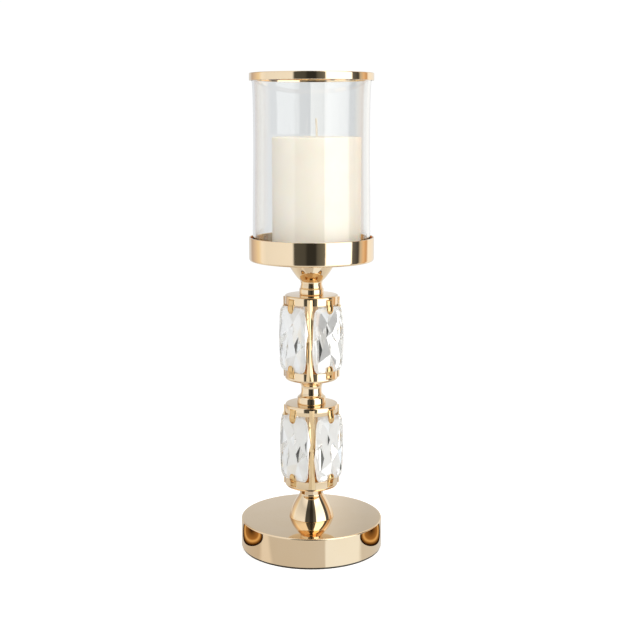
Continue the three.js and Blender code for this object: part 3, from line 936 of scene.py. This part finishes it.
low, high = span("dish_cone")
cone = skin(
    "cone_turned",
    lathe(
        np.vstack(
            [
                [(BORE, low)],
                flow((9, low), (9, low + 2.2), (10.7, low + 3.4), 12),
                flow((10.7, low + 3.4), (13.6, low + 6.6), (16.2, low + 10.6), 12)[1:],
                flow((16.2, low + 10.6), (18.8, low + 14.6), (20.9, high), 12)[1:],
                rounded(
                    [
                        (20.9, high), (RECESS_RADIUS, high, 0.3),
                        (RECESS_RADIUS, high - RECESS_DEPTH), (BORE, high - RECESS_DEPTH),
                    ]
                )[1:],
            ]
        )
    ),
    gold,
    closed=True,
)
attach(cone, "root")
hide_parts("dish_cone")

# ---------------------------------------------------------------- dish
# A shallow pan drawn from sheet brass. A boss under its floor sits in the cone's recess,
# and a socket screw through the floor fixes it there.
BOSS_RADIUS, DISH_FLOOR = 7.6, 1.5  # mm

low, high = span("dish_pan")
under = span("dish_cone")[1]
edge = radius("dish_pan")
dish = skin(
    "dish_drawn",
    lathe(
        rounded(
            [
                (BORE, low), (BOSS_RADIUS, low, 0.3), (BOSS_RADIUS, under, 0.3),
                (edge, under, 2.4), (edge, high, 0.45), (edge - SHEET, high, 0.45),
                (edge - SHEET, under + DISH_FLOOR, 1.6), (BORE, under + DISH_FLOOR),
            ]
        )
    ),
    gold,
    closed=True,
)
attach(dish, "root")
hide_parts("dish_pan")

# ---------------------------------------------------------------- glass chimney
# A tube of blown soda-lime glass, waisted a little, that stands loose on the dish's floor.
# Its two rims are melted round.
WALL, LIP = 2.2, 0.8  # mm, thickness and height of the rounding
GLASS_WAVE = 30.0  # mm
# radius, height above the dish's floor, mm
CHIMNEY = np.array(
    [(48.8, 0.4), (48.5, 36.0), (47.8, 86.0), (47.7, 115.3), (48.1, 137.3), (48.8, 145.3),
     (48.8, 150.0)]
)

glass, tree, shader, place = start_material("soda_lime_glass_blown")
# Blown glass is clear, with slow waves from the blowing that bend what is seen through it.
shader.inputs["Base Color"].default_value = linear("#FDFEFD")
shader.inputs["Transmission Weight"].default_value = 1.0
shader.inputs["IOR"].default_value = 1.45
smear = add_node(tree, "TexNoise", {0: place}, {"Scale": 1 / (GLASS_WAVE * MM), "Detail": 2.0})
haze = add_node(tree, "MapRange", {0: smear.outputs[0]}, {1: 0.4, 2: 0.75, 3: 0.0, 4: 0.012})
tree.links.new(haze.outputs[0], shader.inputs["Roughness"])
blown = add_node(
    tree, "Bump", {"Height": smear.outputs[0]}, {"Strength": 0.06, "Distance": 0.3 * MM}
)
tree.links.new(blown.outputs[0], shader.inputs["Normal"])
# Light on its way to the candle passes straight through, which keeps the wax bright.
path = add_node(tree, "LightPath")
passing = add_node(
    tree, "Math", {0: path.outputs["Is Shadow Ray"], 1: path.outputs["Is Diffuse Ray"]},
    operation="MAXIMUM",
)
clear = add_node(tree, "BsdfTransparent", (), {0: linear("#F6F6F6")})
both = add_node(
    tree, "MixShader", {0: passing.outputs[0], 1: shader.outputs[0], 2: clear.outputs[0]}
)
tree.links.new(both.outputs[0], tree.nodes["Material Output"].inputs[0])

low, high = span("glass_chimney")
up = np.linspace(LIP, high - low - LIP, 48)
outer = np.interp(up, CHIMNEY[:, 1], CHIMNEY[:, 0])
kernel = np.array([1, 2, 3, 2, 1]) / 9  # softens the bends between stations
outer[2:-2] = np.convolve(outer, kernel, "valid")
foot_r, top_r = outer[0], outer[-1]
wall = np.vstack(
    [
        np.stack([outer, up + low], -1),
        flow((top_r, high - LIP), (top_r, high), (top_r - WALL / 2, high), 5)[1:],
        flow((top_r - WALL / 2, high), (top_r - WALL, high), (top_r - WALL, high - LIP), 5)[1:],
        np.stack([outer - WALL, up + low], -1)[::-1],
        flow((foot_r - WALL, low + LIP), (foot_r - WALL, low), (foot_r - WALL / 2, low), 5)[1:],
        flow((foot_r - WALL / 2, low), (foot_r, low), (foot_r, low + LIP), 5)[1:-1],
    ]
)
chimney = skin("chimney_blown", lathe(wall), glass, closed=True)
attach(chimney, "glass")
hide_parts("glass_chimney")

# ---------------------------------------------------------------- glass ring
# A plated brass ring with a slot turned in its underside is cemented over the glass's rim.
# It lifts off with the glass.
SLOT_IN, SLOT_OUT, RING_IN = 46.3, 49.1, 45.3  # mm, radii
RING_CAP = 1.2  # mm of metal over the slot

low, high = span("glass_ring")
edge = radius("glass_ring")
ring = skin(
    "rim_ring_turned",
    lathe(
        rounded(
            [
                (edge, low, 0.3), (edge, high, 0.8), (RING_IN, high, 0.8), (RING_IN, low, 0.3),
                (SLOT_IN, low), (SLOT_IN, high - RING_CAP), (SLOT_OUT, high - RING_CAP),
                (SLOT_OUT, low),
            ]
        )
    ),
    gold,
    closed=True,
)
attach(ring, "glass")
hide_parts("glass_ring")

# ---------------------------------------------------------------- candle
# An unburnt pillar candle of poured paraffin wax stands loose on the dish's floor, a little
# to the right of the stem.
WAX_MOTTLE, WAX_GRAIN = 14.0, 1.5  # mm
WAX_DEPTH = 6.0  # mm that light goes into the wax

wax, tree, shader, place = start_material("paraffin_wax_poured")
# Ivory wax lets light in a few millimetres, so it has no hard shading. Its skin is satin,
# faintly mottled where it set, with a fine grain.
mottle = add_node(
    tree, "TexNoise", {0: place}, {"Scale": 1 / (WAX_MOTTLE * MM), "Detail": 4.0}
)
shade = add_node(
    tree, "Mix", {0: mottle.outputs[0]}, {6: linear("#EFE8DA"), 7: linear("#F6F1E8")},
    data_type="RGBA",
)
tree.links.new(shade.outputs[2], shader.inputs["Base Color"])
shader.inputs["Subsurface Weight"].default_value = 0.35
shader.inputs["Subsurface Radius"].default_value = (0.9, 0.6, 0.35)
shader.inputs["Subsurface Scale"].default_value = WAX_DEPTH * MM
satin = add_node(tree, "MapRange", {0: mottle.outputs[0]}, {1: 0.3, 2: 0.7, 3: 0.38, 4: 0.52})
tree.links.new(satin.outputs[0], shader.inputs["Roughness"])
grain = add_node(tree, "TexNoise", {0: place}, {"Scale": 1 / (WAX_GRAIN * MM), "Detail": 3.0})
set_skin = add_node(
    tree, "Bump", {"Height": grain.outputs[0]}, {"Strength": 0.15, "Distance": 0.1 * MM}
)
tree.links.new(set_skin.outputs[0], shader.inputs["Normal"])

low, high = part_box("candle")
side = (high.y - low.y) / 2 / MM
axis = ((low.x + high.x) / 2 / MM, (low.y + high.y) / 2 / MM)
low, high = low.z / MM, high.z / MM
candle = skin(
    "candle_pillar",
    lathe(
        np.vstack(
            [
                rounded([(0, low), (side - 0.2, low, 1.0), (side, low + 1.2, 0.5),
                         (side, high - 0.4, 1.2), (side - 2.5, high, 1.0)]),
                flow((side - 6, high - 0.1), (9, high - 0.5), (3.0, high - 0.7), 12),
                flow((2.4, high - 0.7), (1.4, high - 0.6), (1.1, high), 6),
                [(1.1, high - 3), (0, high - 3)],
            ]
        ),
        192,
        axis,
    ),
    wax,
)
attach(candle, "candle")
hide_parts("candle")

# ---------------------------------------------------------------- wick
# A square-braided cotton wick, dipped in wax, stands straight out of the candle and leans
# a hair to the left at its tip.
WICK_RADIUS, BRAID = 0.74, 0.05  # mm, in the braid's valleys, and a thread's height
BRAID_TURN = 6.0  # mm of height for one turn of a thread
THREAD = 0.3  # mm
LEAN, LEAN_FROM, LEAN_OVER = 0.5, 349.0, 15.0  # mm aside, from this height, over this height

cotton, tree, shader, place = start_material("cotton_wick_waxed")
# Waxed cotton is off-white, with the braid's threads showing as slanting ridges.
thread = add_node(tree, "TexNoise", {0: place}, {"Scale": 1 / (THREAD * MM), "Detail": 3.0})
shade = add_node(
    tree, "Mix", {0: thread.outputs[0]}, {6: linear("#DDD3C0"), 7: linear("#F6F1E6")},
    data_type="RGBA",
)
tree.links.new(shade.outputs[2], shader.inputs["Base Color"])
shader.inputs["Roughness"].default_value = 0.75
shader.inputs["Sheen Weight"].default_value = 0.2
fuzz = add_node(
    tree, "Bump", {"Height": thread.outputs[0]}, {"Strength": 0.5, "Distance": 0.1 * MM}
)
tree.links.new(fuzz.outputs[0], shader.inputs["Normal"])

low, high = span("wick")
z = np.linspace(low, high, 300)
z = np.concatenate([[low], z, [high]])[:, None]
a = (np.arange(32) * 2 * math.pi / 32)[None]
# The radius is 0.74 + 0.05 (|cos 2(a - t)| + |cos 2(a + t)|) at angle a, where t is the
# threads' twist: two sets of four threads wind opposite ways.
twist = 2 * math.pi * z / BRAID_TURN
r = WICK_RADIUS + BRAID * (np.abs(np.cos(2 * (a - twist))) + np.abs(np.cos(2 * (a + twist))))
r[[0, -1]] = 0
lean = LEAN * np.clip((z - LEAN_FROM) / LEAN_OVER, 0, 1) ** 2
wick = skin(
    "wick_braided",
    np.stack([axis[0] - lean + r * np.cos(a), axis[1] + r * np.sin(a), z + 0 * a], -1),
    cotton,
    sharp=60,
)
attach(wick, "candle")
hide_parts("wick")

# ---------------------------------------------------------------- sizes
# The finished model's box, over every shown piece but the table, is found in metres.
low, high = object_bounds()
